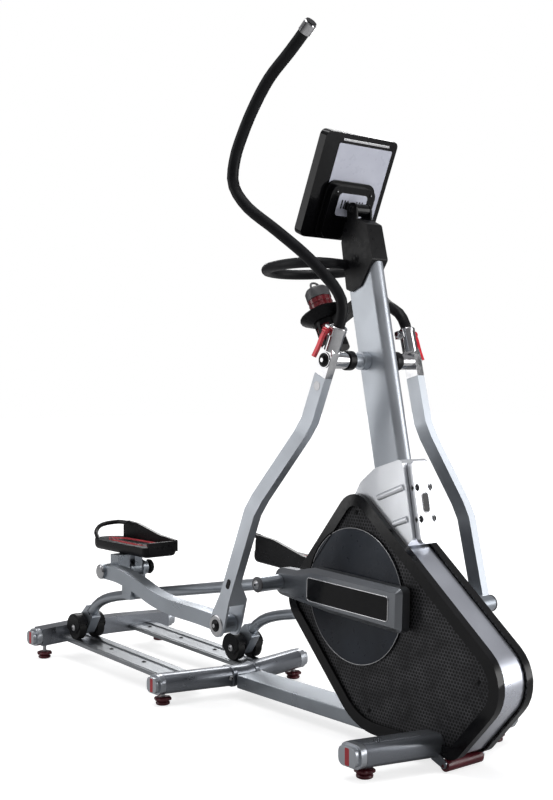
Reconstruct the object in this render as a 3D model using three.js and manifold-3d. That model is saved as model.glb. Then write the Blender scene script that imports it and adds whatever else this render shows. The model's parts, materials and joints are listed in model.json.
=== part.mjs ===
// Front-drive elliptical trainer.
// Millimetres, +Z up. The console end faces -Y, the user stands at +Y and faces -Y, so the
// user's right is -X. The origin is on the floor under the middle of the machine.
// At rest the right pedal is at the back of its stride and the left pedal at the front.
import * as THREE from 'three';
import { mergeVertices } from 'three/addons/utils/BufferGeometryUtils.js';
import Module from 'manifold-3d';

const wasm = await Module();
wasm.setup();

// ---- driving dimensions (y is measured from the crank axle until the whole is centred) ----
const MIDDLE_Y = 456; // from the crank axle back to the middle of the machine
const GAP = 0.4; // clearance between pieces that touch
const SIDES = [{ name: 'right', sign: -1 }, { name: 'left', sign: 1 }];

// crank and stride
const CRANK_Z = 380;
const CRANK_THROW = 257;
const RAIL_TILT = THREE.MathUtils.degToRad(2); // the rails rise towards the back
const PIN_Y = CRANK_THROW * Math.cos(RAIL_TILT);
const PIN_Z = CRANK_Z + CRANK_THROW * Math.sin(RAIL_TILT);
const STRIDE_Y = -2 * CRANK_THROW * Math.cos(RAIL_TILT); // travel of a pedal, back to front
const STRIDE_Z = -2 * CRANK_THROW * Math.sin(RAIL_TILT);
const DISC_RADIUS = 177;
const COVER_DEPTH = [62.6, 101.5];
const COVER_CHAMFER = 13; // crank arm cover, distances from the middle plane
const SLEEVE_DEPTH = [102.5, 177]; // crank pin bearing on the roller tube
const SLEEVE_RADIUS = 20.5;

// housing
const HOUSING = [[4, 674, 72], [-535, 239, 105], [-353, 35, 40], [-7, 35, 180], [292, 343, 75]];
const HOUSING_HALF = 62;
const BAND_HALF = 39;
const PANEL_RECESS = 8;
const RIM_WIDTH = 30;
const SHELL = 4;

// mast, a tube with flat sides and a round front, leaning back
const MAST_LEAN = THREE.MathUtils.degToRad(11.65);
const MAST_HALF_WIDTH = 22;
const MAST_HALF_DEPTH = 53;
const MAST_BOTTOM = { y: -131.4, z: 520 };
const MAST_LENGTH = 738;

// cross-shaft and swing arms
const SHAFT = { y: -3, z: 993 };
const SHAFT_RADIUS = 18;
const AXLE_RADIUS = 10;
const ARM_OUTER = 165; // outer face of the arm at the shaft
const ARM_THICK = 25;
const ARM_HALF_DEPTH = 21.5;
const ARM_SPLAY = 103; // the lower part stands this much further out
const ARM_LENGTH = 784.9; // shaft to lower pivot
const SWING_REST = { right: THREE.MathUtils.degToRad(24.54), left: THREE.MathUtils.degToRad(-13.5) };

// roller tubes, carriages and rails
const TUBE_X = 140;
const TUBE_RADIUS = 16.5;
const TUBE_PATH = [[290, 383], [620, 323.4], [960, 262], [1085, 236], [1140, 218], [1180, 196], [1205, 172]];
const RAIL_X = 138;
const RAIL_SPAN = [638, 1338];
const RAIL_TOP = { y: 730, z: 58 };
const WHEEL_RADIUS = 39;
const WHEEL_WIDTH = 26;
const WHEEL_SPACING = 34; // each wheel from the middle of its rail
const WHEEL_Y = 1250;
const railTop = (y) => RAIL_TOP.z + (y - RAIL_TOP.y) * Math.tan(RAIL_TILT);
const WHEEL_Z = railTop(WHEEL_Y) + (WHEEL_RADIUS + GAP) / Math.cos(RAIL_TILT);

// pedal arms and pedals
const ARM_PIVOT = { y: 945, z: 349 }; // cross tube, carried by the roller tube
const PEDAL_ARM_X = [217, 257];
const PEDAL_ARM_HALF = 21.5;
const PEDAL_ARM_PATH = [[0, 0], [-90, -3], [-185, -20], [-280, -45], [-380, -58], [-500, -62], [-585, -67]];
const PEDAL_EYE = { y: -622, z: -70 };
const CROSS_TUBE_RADIUS = 23;
const PEDAL_ARM_TURN = { right: 0, left: THREE.MathUtils.degToRad(2.9) };
const PEDAL_BASE_Z = 49; // above the cross tube
const PEDAL_THICK = 32;
const PEDAL_X = [70, 190];
const PEDAL_TAPER = 12; // the rounded underside is this much smaller all round

// floor structure
const STABILISERS = [
  { name: 'front', y: -225, sweep: -65, half: 37, z: [31, 90], reach: 258, footX: 233, arch: 0 },
  { name: 'middle', y: 617, sweep: -57, half: 31, z: [33, 90], reach: 255, footX: 247, arch: 0 },
  { name: 'rear', y: 1370, sweep: 0, half: 30, z: [47, 104], reach: 255, footX: 233, arch: 10 },
];
const BAR_ROUNDING = 22; // long edges of the stabilisers and their end caps
const CAP_LENGTH = 32;
const BEAM = { half: 47, y: [-240, 528], z: [34, 72] };
const ROLLER = { y: -322, z: 18, radius: 15, half: 62, axle: 4, ear: [64.5, 69] };

// ---- colours ----
const paint = (color, roughness, metalness) => new THREE.MeshStandardMaterial({ color, roughness, metalness });
const SILVER = paint(0xa3aab3, 0.38, 0.85);
const CHROME = paint(0xd8d8d8, 0.12, 1);
const ALUMINIUM = paint(0xb9bcbf, 0.4, 0.9);
const WHITE_PLASTIC = paint(0xe6eaf0, 0.35, 0.1);
const BLACK_PLASTIC = paint(0x111214, 0.45, 0);
const GLOSS_BLACK = paint(0x08080a, 0.15, 0);
const NAVY = paint(0x14181f, 0.4, 0.1);
const GREY_METALLIC = paint(0x5d6268, 0.4, 0.6);
const FOAM = paint(0x17191b, 0.85, 0);
const RED = paint(0xb3121c, 0.3, 0.6);
const DARK_RED = paint(0x52121a, 0.4, 0);
const STEEL = paint(0x8d8f92, 0.35, 0.9);
const CAST_IRON = paint(0x3a3c3f, 0.6, 0.7);
const RUBBER = paint(0x1a1a1a, 0.8, 0);

// ---- solid helpers ----
function solid(geometry) {
  const bare = geometry.clone();
  bare.deleteAttribute('normal');
  bare.deleteAttribute('uv');
  const merged = mergeVertices(bare, 1e-4);
  const vertProperties = new Float32Array(merged.attributes.position.array);
  const triVerts = new Uint32Array(merged.index.array);
  return new wasm.Manifold(new wasm.Mesh({ numProp: 3, vertProperties, triVerts }));
}

function surface(manifold) {
  const mesh = manifold.getMesh();
  const geometry = new THREE.BufferGeometry();
  geometry.setAttribute('position', new THREE.BufferAttribute(mesh.vertProperties, 3));
  geometry.setIndex(new THREE.BufferAttribute(mesh.triVerts, 1));
  geometry.computeVertexNormals();
  return geometry;
}

const join = (...pieces) => surface(pieces.map(solid).reduce((sum, piece) => sum.add(piece)));
const common = (a, b) => surface(solid(a).intersect(solid(b)));
const cut = (base, ...tools) => surface(tools.map(solid).reduce((rest, tool) => rest.subtract(tool), solid(base)));

// A closed outline whose corners [u, v, radius] are rounded by arcs.
function roundedOutline(corners, steps = 6) {
  const points = [];
  corners.forEach(([u, v, radius], index) => {
    const corner = new THREE.Vector2(u, v);
    const [before, after] = [corners.at(index - 1), corners[(index + 1) % corners.length]];
    const toBefore = new THREE.Vector2(before[0], before[1]).sub(corner).normalize();
    const toAfter = new THREE.Vector2(after[0], after[1]).sub(corner).normalize();
    if (!radius) {
      points.push(corner);
      return;
    }
    const half = Math.acos(THREE.MathUtils.clamp(toBefore.dot(toAfter), -1, 1)) / 2;
    const reach = radius / Math.tan(half);
    const bisector = toBefore.clone().add(toAfter).normalize();
    const centre = corner.clone().addScaledVector(bisector, radius / Math.sin(half));
    const start = corner.clone().addScaledVector(toBefore, reach).sub(centre);
    const turn = Math.sign(toBefore.cross(toAfter)) * -(Math.PI - 2 * half);
    for (let step = 0; step <= steps; step += 1) {
      points.push(start.clone().rotateAround(new THREE.Vector2(), (turn * step) / steps).add(centre));
    }
  });
  return new THREE.Shape(points);
}

const rectangle = (u0, v0, u1, v1, radius = 0, steps = 4) =>
  roundedOutline([[u0, v0, radius], [u1, v0, radius], [u1, v1, radius], [u0, v1, radius]], steps);

function circleOutline(radius, u = 0, v = 0, sides = 24) {
  const points = [];
  for (let side = 0; side < sides; side += 1) {
    const angle = (2 * Math.PI * side) / sides;
    points.push(new THREE.Vector2(u + radius * Math.cos(angle), v + radius * Math.sin(angle)));
  }
  return new THREE.Shape(points);
}

// Moves every corner of an outline inwards by the same distance along its two edges' normals.
function inset(shape, distance) {
  const points = shape.getPoints();
  const area = THREE.ShapeUtils.area(points);
  const inward = points.map((point, index) => {
    const before = points.at(index - 1);
    const after = points[(index + 1) % points.length];
    const first = point.clone().sub(before).normalize();
    const second = after.clone().sub(point).normalize();
    const normal = new THREE.Vector2(-first.y - second.y, first.x + second.x).normalize();
    const share = normal.dot(new THREE.Vector2(-first.y, first.x));
    return point.clone().addScaledVector(normal, (Math.sign(area) * distance) / share);
  });
  return new THREE.Shape(inward);
}

// The outline of a bar of constant width that follows a smooth path of [u, v] points.
function barOutline(path, half, samples = 24) {
  const curve = new THREE.SplineCurve(path.map(([u, v]) => new THREE.Vector2(u, v)));
  const left = [];
  const right = [];
  for (let step = 0; step <= samples; step += 1) {
    const point = curve.getPoint(step / samples);
    const tangent = curve.getTangent(step / samples);
    left.push(new THREE.Vector2(point.x - tangent.y * half, point.y + tangent.x * half));
    right.unshift(new THREE.Vector2(point.x + tangent.y * half, point.y - tangent.x * half));
  }
  return new THREE.Shape([...left, ...right]);
}

const extrude = (shape, depth) => new THREE.ExtrudeGeometry(shape, { depth, bevelEnabled: false });

// A side view (y, z) given thickness along X, from x0 to x1.
function plateX(shape, x0, x1) {
  const basis = new THREE.Matrix4().makeBasis(
    new THREE.Vector3(0, 1, 0), new THREE.Vector3(0, 0, 1), new THREE.Vector3(1, 0, 0));
  const [low, high] = [Math.min(x0, x1), Math.max(x0, x1)];
  return extrude(shape, high - low).applyMatrix4(basis).translate(low, 0, 0);
}

// A front view (x, z) given thickness along Y, from y0 to y1.
function plateY(shape, y0, y1) {
  const basis = new THREE.Matrix4().makeBasis(
    new THREE.Vector3(1, 0, 0), new THREE.Vector3(0, 0, 1), new THREE.Vector3(0, -1, 0));
  return extrude(shape, y1 - y0).applyMatrix4(basis).translate(0, y1, 0);
}

const plateZ = (shape, z0, z1) => extrude(shape, z1 - z0).translate(0, 0, z0);

const rodX = (radius, x0, x1, y = 0, z = 0, sides = 24) => plateX(circleOutline(radius, y, z, sides), x0, x1);

function block(x0, x1, y0, y1, z0, z1) {
  const geometry = new THREE.BoxGeometry(Math.abs(x1 - x0), y1 - y0, z1 - z0);
  return geometry.translate((x0 + x1) / 2, (y0 + y1) / 2, (z0 + z1) / 2);
}

function tube(points, radius, steps, sides = 12) {
  const stops = points.map(([x, y, z]) => new THREE.Vector3(x, y, z));
  const extrudePath = new THREE.CatmullRomCurve3(stops, false, 'centripetal');
  return new THREE.ExtrudeGeometry(circleOutline(radius, 0, 0, sides), { steps, extrudePath, bevelEnabled: false });
}

const lathe = (profile, segments = 24) =>
  new THREE.LatheGeometry(profile.map(([r, h]) => new THREE.Vector2(r, h)), segments).rotateX(Math.PI / 2);

function mesh(name, geometry, material) {
  const piece = new THREE.Mesh(geometry, material);
  piece.name = name;
  return piece;
}

function placed(object, x, y, z, turn = 0) {
  object.position.set(x, y, z);
  object.rotation.x = turn;
  return object;
}

// ---- floor structure ----
function stabiliserPlan(foot, grow = 0) {
  const half = foot.half + grow;
  const middle = foot.y + foot.sweep;
  return new THREE.Shape([
    [-foot.reach, foot.y - half], [0, middle - half], [foot.reach, foot.y - half],
    [foot.reach, foot.y + half], [0, middle + half], [-foot.reach, foot.y + half],
  ].map(([x, y]) => new THREE.Vector2(x, y)));
}

// Half of a swept stabiliser: its rounded section runs straight out and forwards or back.
function sweptHalf(foot, sign, grow) {
  const [low, high] = foot.z;
  const half = foot.half + grow;
  const section = rectangle(foot.y - half, low - grow, foot.y + half, high + grow, BAR_ROUNDING);
  const slope = (-sign * foot.sweep) / foot.reach;
  const shear = new THREE.Matrix4().set(1, 0, 0, 0, slope, 1, 0, foot.sweep, 0, 0, 1, 0, 0, 0, 0, 1);
  return plateX(section, 0, sign * foot.reach).applyMatrix4(shear);
}

const sweptBar = (foot, grow = 0) => join(sweptHalf(foot, -1, grow), sweptHalf(foot, 1, grow));

// The rear stabiliser is a straight bar that arches up in the middle.
function archedBar(foot) {
  const [low, high] = foot.z;
  const path = [[-foot.reach, 0], [0, foot.arch], [foot.reach, 0]].map(([x, rise]) => new THREE.Vector2(x, rise));
  const rise = new THREE.SplineCurve(path).getPoints(8);
  const raised = (point, z) => new THREE.Vector2(point.x, point.y + z);
  const outline = new THREE.Shape([
    ...rise.map((point) => raised(point, high)), ...rise.toReversed().map((point) => raised(point, low)),
  ]);
  return plateY(outline, foot.y - foot.half, foot.y + foot.half);
}

// Two ears in front of the middle of the front stabiliser hold the transport roller.
function withRollerEars(beam) {
  const outline = roundedOutline([
    [ROLLER.y - 10, ROLLER.z + 10, 9], [ROLLER.y - 10, ROLLER.z - 10, 9], [-284, 26, 0], [-284, 60, 0],
  ]);
  const ears = SIDES.map(({ sign }) => plateX(outline, sign * ROLLER.ear[0], sign * ROLLER.ear[1]));
  return cut(join(beam, ...ears), rodX(ROLLER.axle + GAP, -75, 75, ROLLER.y, ROLLER.z));
}

function stabiliser(foot) {
  if (foot.arch) return archedBar(foot);
  return foot.name === 'front' ? withRollerEars(sweptBar(foot)) : sweptBar(foot);
}

function endCap(foot, sign) {
  const [low, high] = foot.z;
  const outline = rectangle(foot.y - foot.half, low, foot.y + foot.half, high, BAR_ROUNDING);
  const inner = foot.reach + GAP;
  const body = plateX(outline, sign * inner, sign * (foot.reach + CAP_LENGTH * 0.6));
  const nose = plateX(inset(outline, 6), sign * inner, sign * (foot.reach + CAP_LENGTH));
  return join(body, nose);
}

function levellingFoot(top) {
  const knob = [[17, 0], [21, 5], [20, 10], [9, 13], [9, 14], [26, 14], [26, 22], [6, 24]];
  return lathe([[0, 0], ...knob, [6, top], [0, top]]);
}

function rail(sign) {
  const section = [[-52, -14], [52, -14], [52, -2], [47, -2], [47, 0], [21, 0], [21, -5], [-21, -5],
    [-21, 0], [-47, 0], [-47, -2], [-52, -2]].map(([u, v]) => new THREE.Vector2(u, v));
  const length = (RAIL_SPAN[1] - RAIL_SPAN[0]) / Math.cos(RAIL_TILT);
  const geometry = plateY(new THREE.Shape(section), 0, length);
  return placed(mesh('', geometry, ALUMINIUM), sign * RAIL_X, RAIL_SPAN[0], railTop(RAIL_SPAN[0]), RAIL_TILT);
}

function floorStructure() {
  const group = new THREE.Group();
  group.add(mesh('main_beam', block(-BEAM.half, BEAM.half, BEAM.y[0], BEAM.y[1], BEAM.z[0], BEAM.z[1]), SILVER));
  for (const foot of STABILISERS) {
    group.add(mesh(`${foot.name}_stabiliser`, stabiliser(foot), SILVER));
    for (const { name, sign } of SIDES) {
      group.add(mesh(`${foot.name}_end_cap_${name}`, endCap(foot, sign), SILVER));
      const screw = mesh(`${foot.name}_foot_${name}`, levellingFoot(foot.z[0] - GAP), DARK_RED);
      group.add(placed(screw, sign * foot.footX, foot.y, 0));
    }
  }
  for (const { name, sign } of SIDES) {
    const track = rail(sign);
    track.name = `rail_${name}`;
    group.add(track);
  }
  const roller = join(rodX(ROLLER.radius, -ROLLER.half, ROLLER.half), rodX(ROLLER.axle, -68, 68, 0, 0, 16));
  group.add(placed(mesh('transport_roller', roller, DARK_RED), 0, ROLLER.y, ROLLER.z));
  return group;
}

// ---- mast, housing and what is fixed to them ----
function mastSection(grow = 0) {
  const half = MAST_HALF_WIDTH + grow;
  const points = [new THREE.Vector2(half, MAST_HALF_DEPTH + grow), new THREE.Vector2(-half, MAST_HALF_DEPTH + grow)];
  const roundCentre = -MAST_HALF_DEPTH + MAST_HALF_WIDTH;
  for (let step = 0; step <= 10; step += 1) {
    const angle = Math.PI + (Math.PI * step) / 10;
    points.push(new THREE.Vector2(half * Math.cos(angle), roundCentre + half * Math.sin(angle)));
  }
  return new THREE.Shape(points);
}

function mastSolid(grow = 0) {
  return plateZ(mastSection(grow), -grow, MAST_LENGTH + grow)
    .rotateX(-MAST_LEAN).translate(0, MAST_BOTTOM.y, MAST_BOTTOM.z);
}

const mast = () => cut(mastSolid(), rodX(SHAFT_RADIUS + GAP, -60, 60, SHAFT.y, SHAFT.z));

const housingOutline = () => roundedOutline(HOUSING, 8);

// What the housing leaves free: the beam, the front stabiliser and what is below its middle.
const floorNotches = () => [
  block(-BEAM.half - GAP, BEAM.half + GAP, BEAM.y[0] - 20, 80, 20, BEAM.z[1] + GAP),
  plateZ(stabiliserPlan(STABILISERS[0], GAP), 10, 60),
  sweptBar(STABILISERS[0], GAP),
];

function sideCover(sign) {
  const outline = housingOutline();
  const panel = HOUSING_HALF - PANEL_RECESS;
  const body = plateX(outline, sign * (BAND_HALF + GAP), sign * HOUSING_HALF);
  return cut(
    body,
    plateX(inset(outline, SHELL), sign * (BAND_HALF - 1), sign * (panel - SHELL)),
    plateX(inset(outline, RIM_WIDTH), sign * panel, sign * (HOUSING_HALF + 1)),
    rodX(DISC_RADIUS + 4, sign * panel, sign * (HOUSING_HALF + 1), 0, CRANK_Z, 48),
    rodX(26, sign * 30, sign * 70, 0, CRANK_Z),
    ...floorNotches(),
  );
}

function centreBand() {
  const outer = inset(housingOutline(), 7);
  const ring = cut(plateX(outer, -BAND_HALF, BAND_HALF), plateX(inset(outer, SHELL), -50, 50));
  return cut(ring, mastSolid(GAP), ...floorNotches());
}

function mastBaseCover() {
  const side = roundedOutline([
    [14, 640, 0], [-8, 676, 20], [-62, 716, 40], [-150, 742, 6], [-162, 735, 4], [-197, 545, 10], [-150, 500, 0],
    [-60, 560, 0],
  ], 4);
  return cut(plateX(side, -46, 46), mastSolid(GAP), plateX(inset(housingOutline(), -GAP), -80, 80));
}

function mastClampCover() {
  const front = rectangle(-33, 0, 33, 208, 16);
  return plateY(front, -16, -GAP).rotateX(-MAST_LEAN * 0.9).translate(0, -201.5, 532);
}

function crossShaft() {
  return join(
    rodX(SHAFT_RADIUS, -97, 97, SHAFT.y, SHAFT.z),
    rodX(AXLE_RADIUS, -168, 168, SHAFT.y, SHAFT.z),
    rodX(SHAFT_RADIUS + 6, -44, -MAST_HALF_WIDTH - GAP, SHAFT.y, SHAFT.z),
    rodX(SHAFT_RADIUS + 6, MAST_HALF_WIDTH + GAP, 44, SHAFT.y, SHAFT.z),
  );
}

// The console tilts on a knuckle held between two ears on the neck.
const TILT_AXIS = { y: 44, z: 1394 };
const NECK_HALF = 28;
const EAR_WIDTH = 5;

function neck() {
  const body = roundedOutline([
    [66, 1184, 6], [86, 1310, 10], [72, 1362, 6], [20, 1366, 6], [-12, 1350, 10], [-35, 1256, 8], [10, 1190, 20],
    [46, 1176, 6],
  ], 3);
  const ear = roundedOutline([
    [TILT_AXIS.y + 18, TILT_AXIS.z + 18, 17], [TILT_AXIS.y - 18, TILT_AXIS.z + 18, 17],
    [TILT_AXIS.y - 20, 1350, 0], [TILT_AXIS.y + 20, 1350, 0],
  ], 5);
  const whole = join(
    plateX(body, -NECK_HALF, NECK_HALF),
    plateX(ear, -NECK_HALF, -NECK_HALF + EAR_WIDTH),
    plateX(ear, NECK_HALF - EAR_WIDTH, NECK_HALF),
  );
  const between = NECK_HALF - EAR_WIDTH;
  return cut(whole, mastSolid(GAP), rodX(20, -between, between, TILT_AXIS.y, TILT_AXIS.z));
}

const CONSOLE = { width: 256, height: 285, thick: 28, lean: THREE.MathUtils.degToRad(24) };

// Built upright with its tilt axis at the origin, then leaned towards the user.
function console() {
  const plate = plateY(rectangle(-CONSOLE.width / 2, 0, CONSOLE.width / 2, CONSOLE.height, 16), 0, CONSOLE.thick);
  const pod = plateY(rectangle(-78, 8, 78, 152, 24), -24, 1);
  plate.translate(0, 61, -102);
  pod.translate(0, 61, -102);
  const knuckle = NECK_HALF - EAR_WIDTH - GAP;
  const stalk = block(-knuckle, knuckle, 0, 45, -10, 10);
  return join(plate, pod, stalk, rodX(17, -knuckle, knuckle)).rotateX(CONSOLE.lean);
}

function fixedHandlebar() {
  const half = [[-NECK_HALF - GAP, 74, 1250], [-80, 74, 1251], [-122, 104, 1253], [-136, 190, 1254],
    [-118, 286, 1252], [-66, 350, 1250], [0, 368, 1249]];
  const mirrored = half.slice(0, -1).reverse().map(([x, y, z]) => [-x, y, z]);
  return tube([...half, ...mirrored], 14.5, 56, 12);
}

// The bottle leans back behind the mast, in a dish on a short bracket.
const BOTTLE = { y: 178, z: 1110, lean: THREE.MathUtils.degToRad(-27), radius: 33 };

function bottleHolder() {
  const saucer = [[36, -8], [42, -8], [70, 12], [70, 16], [66, 16], [40, -2], [35, -2]];
  const cup = [[0, -97], [37, -97], [37, -8], [34, -8], [34, -93.5], [0, -93.5]];
  const windows = [0, 1, 2].map((turn) => block(-13, 13, -60, 60, -76, -22).rotateZ((turn * Math.PI) / 3));
  const bracket = block(-14, 14, -150, -35, -40, -12);
  const dish = join(lathe([...saucer, saucer[0]]), cut(lathe(cup), ...windows), bracket);
  const clear = plateZ(circleOutline(34), -93.5, 100);
  return cut(dish.rotateX(BOTTLE.lean).translate(0, BOTTLE.y, BOTTLE.z),
    clear.rotateX(BOTTLE.lean).translate(0, BOTTLE.y, BOTTLE.z), mastSolid(GAP));
}

function bottle() {
  const profile = [[0, -92], [28, -92], [33, -86], [33, 62], [34, 64], [34, 88], [27, 94], [0, 94]];
  return lathe(profile).rotateX(BOTTLE.lean).translate(0, BOTTLE.y, BOTTLE.z);
}

// ---- drive train inside the housing ----
const FLYWHEEL = { y: -290, z: 225, radius: 104 };
const PULLEY_RADIUS = 110;
const SMALL_PULLEY = 18;

// The outline of a belt around the two pulleys, at a distance out from each.
function beltOutline(out) {
  const span = new THREE.Vector2(FLYWHEEL.y, FLYWHEEL.z - CRANK_Z);
  const direction = span.angle();
  const spread = Math.acos((PULLEY_RADIUS - SMALL_PULLEY) / span.length());
  const points = [];
  const arc = (centre, radius, from, to, steps) => {
    for (let step = 0; step <= steps; step += 1) {
      const angle = from + ((to - from) * step) / steps;
      points.push(new THREE.Vector2(centre[0] + radius * Math.cos(angle), centre[1] + radius * Math.sin(angle)));
    }
  };
  arc([0, CRANK_Z], PULLEY_RADIUS + out, direction + spread, direction - spread + 2 * Math.PI, 28);
  arc([FLYWHEEL.y, FLYWHEEL.z], SMALL_PULLEY + out, direction - spread, direction + spread, 10);
  return new THREE.Shape(points);
}

// The cheeks stand outside the flywheel; pads fill the space between them and the mast.
const CHEEK = [27.9, 36];

function innerFrame() {
  const plate = roundedOutline([
    [70, 73, 4], [70, 330, 20], [45, 440, 20], [-70, 560, 10], [-190, 540, 10], [-150, 430, 20], [-320, 262, 20],
    [-330, 195, 20], [-80, 110, 30], [-120, 73, 4],
  ], 3);
  const cheeks = SIDES.map(({ sign }) => plateX(plate, sign * CHEEK[0], sign * CHEEK[1]));
  const pads = SIDES.map(({ sign }) =>
    block(sign * (MAST_HALF_WIDTH + GAP), sign * (CHEEK[0] + 1), -170, -95, 496, 556));
  const seat = block(-30, 30, -170, -95, 496, 507);
  const inside = plateX(inset(housingOutline(), 7 + SHELL + 1), -50, 50);
  return cut(
    common(join(...cheeks, ...pads, seat), inside),
    rodX(14, -50, 50, 0, CRANK_Z),
    rodX(9, -50, 50, FLYWHEEL.y, FLYWHEEL.z),
    ...floorNotches(),
  );
}

function driveTrain() {
  const group = new THREE.Group();
  const hub = (radius, x0, x1, sides) => rodX(radius, x0, x1, 0, CRANK_Z, sides);
  group.add(mesh('inner_frame', innerFrame(), STEEL));
  group.add(mesh('drive_pulley_and_axle', join(hub(12, -55, 55), hub(PULLEY_RADIUS, -12, 0, 40)), CAST_IRON));
  const belt = cut(plateX(beltOutline(3.6), -11, -1), plateX(beltOutline(1), -20, 10));
  group.add(mesh('drive_belt', belt, RUBBER));
  const wheel = join(rodX(FLYWHEEL.radius, 4, 26, 0, 0, 40), rodX(SMALL_PULLEY, -12, 5), rodX(8, -34, 32));
  group.add(placed(mesh('flywheel', wheel, CAST_IRON), 0, FLYWHEEL.y, FLYWHEEL.z));
  const magnet = block(-2, 32, FLYWHEEL.y - 30, FLYWHEEL.y + 40, FLYWHEEL.z + FLYWHEEL.radius + 3, 350);
  group.add(mesh('brake_magnet', magnet, STEEL));
  return group;
}

// ---- crank ----
function crankCover(sign) {
  const reach = CRANK_THROW;
  const outline = roundedOutline([
    [reach + 36, 36, 34], [reach - 60, 40, 40], [reach - 130, 58, 60], [-205, 56, 14], [-205, -56, 14],
    [60, -52, 120], [reach + 36, -36, 34],
  ], 5);
  const [near, far] = COVER_DEPTH;
  const raised = new THREE.ExtrudeGeometry(inset(outline, COVER_CHAMFER), {
    depth: 2 * (far - near - COVER_CHAMFER), bevelEnabled: true, bevelThickness: COVER_CHAMFER,
    bevelSize: COVER_CHAMFER, bevelSegments: 1,
  });
  const basis = new THREE.Matrix4().makeBasis(
    new THREE.Vector3(0, 1, 0), new THREE.Vector3(0, 0, 1), new THREE.Vector3(1, 0, 0));
  // the block is chamfered on both sides of the near plane, and only its outer half is kept
  raised.applyMatrix4(basis).translate(sign * near - (far - near - COVER_CHAMFER), 0, 0);
  return cut(raised, block(sign * (near - 60), sign * near, -400, 400, -100, 100));
}

function crank({ name, sign }) {
  const group = new THREE.Group();
  const plate = rodX(DISC_RADIUS, sign * 55.4, sign * 59.6, 0, CRANK_Z, 48);
  const disc = join(plate, rodX(40, sign * 59, sign * 62.2, 0, CRANK_Z));
  group.add(mesh(`crank_disc_${name}`, disc, NAVY));
  // the right crank points back at rest and the left one forward
  const arm = mesh(`crank_arm_cover_${name}`, crankCover(sign), GREY_METALLIC);
  const turn = sign < 0 ? RAIL_TILT : RAIL_TILT + Math.PI;
  group.add(placed(arm, 0, 0, CRANK_Z, turn));
  return group;
}

// ---- roller tube and carriage, drawn at the back of the stride ----
function rollerTube(sign) {
  const path = TUBE_PATH.map(([y, z]) => [sign * TUBE_X, y, z]);
  const plates = [[114, 121], [159, 166]];
  const upright = roundedOutline([
    [ARM_PIVOT.y + 30, ARM_PIVOT.z + 29, 28], [ARM_PIVOT.y - 30, ARM_PIVOT.z + 29, 28], [922, 262, 6], [976, 252, 6],
  ], 5);
  const ears = plates.map(([x0, x1]) => cut(
    plateX(upright, sign * x0, sign * x1),
    rodX(CROSS_TUBE_RADIUS + GAP, sign * (x0 - 2), sign * (x1 + 2), ARM_PIVOT.y, ARM_PIVOT.z),
  ));
  const saddle = block(sign * 113, sign * 167, 924, 974, 252, 268);
  return join(
    tube(path, TUBE_RADIUS, 30, 14),
    tube([[sign * TUBE_X, PIN_Y, PIN_Z], [sign * TUBE_X, 300, 381]], 13, 2, 14),
    rodX(SLEEVE_RADIUS, sign * SLEEVE_DEPTH[0], sign * SLEEVE_DEPTH[1], PIN_Y, PIN_Z),
    ...ears,
    saddle,
  );
}

function carriageBracket(sign) {
  const end = TUBE_PATH.at(-1);
  const fork = roundedOutline([
    [end[0] - 22, end[1] - 16, 4], [end[0] + 15, end[1] + 22, 4], [WHEEL_Y + 26, WHEEL_Z + 30, 16],
    [WHEEL_Y + 16, WHEEL_Z - 24, 16], [WHEEL_Y - 24, WHEEL_Z - 20, 16],
  ], 4);
  const body = cut(
    plateX(fork, sign * (RAIL_X - 16), sign * (RAIL_X + 16)),
    tube([...TUBE_PATH, [1210, 167]].map(([y, z]) => [sign * TUBE_X, y, z]), TUBE_RADIUS + 3 * GAP, 30, 14),
  );
  return join(body, rodX(6, sign * (RAIL_X - 49), sign * (RAIL_X + 49), WHEEL_Y, WHEEL_Z, 16));
}

function carriageWheel(sign, offset) {
  const middle = sign * (RAIL_X + offset);
  const tyre = rodX(WHEEL_RADIUS, middle - WHEEL_WIDTH / 2, middle + WHEEL_WIDTH / 2, 0, 0, 32);
  return cut(tyre, rodX(6 + GAP, middle - 20, middle + 20, 0, 0, 16));
}

// ---- pedal arm and pedal, drawn with the cross tube at the origin ----
function pedalArm(sign) {
  const [inner, outer] = PEDAL_ARM_X;
  return join(
    plateX(barOutline(PEDAL_ARM_PATH, PEDAL_ARM_HALF), sign * inner, sign * outer),
    rodX(24, sign * 214.5, sign * 259.5, PEDAL_EYE.y, PEDAL_EYE.z),
    plateX(barOutline([[-560, -66], [-600, -69]], 20, 2), sign * inner, sign * outer),
    rodX(CROSS_TUBE_RADIUS, sign * 98, sign * 262),
    block(sign * 126, sign * 154, -28, 28, 10, PEDAL_BASE_Z - GAP),
    block(sign * 170, sign * 212, -24, 24, 8, PEDAL_BASE_Z - GAP),
  );
}

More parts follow.
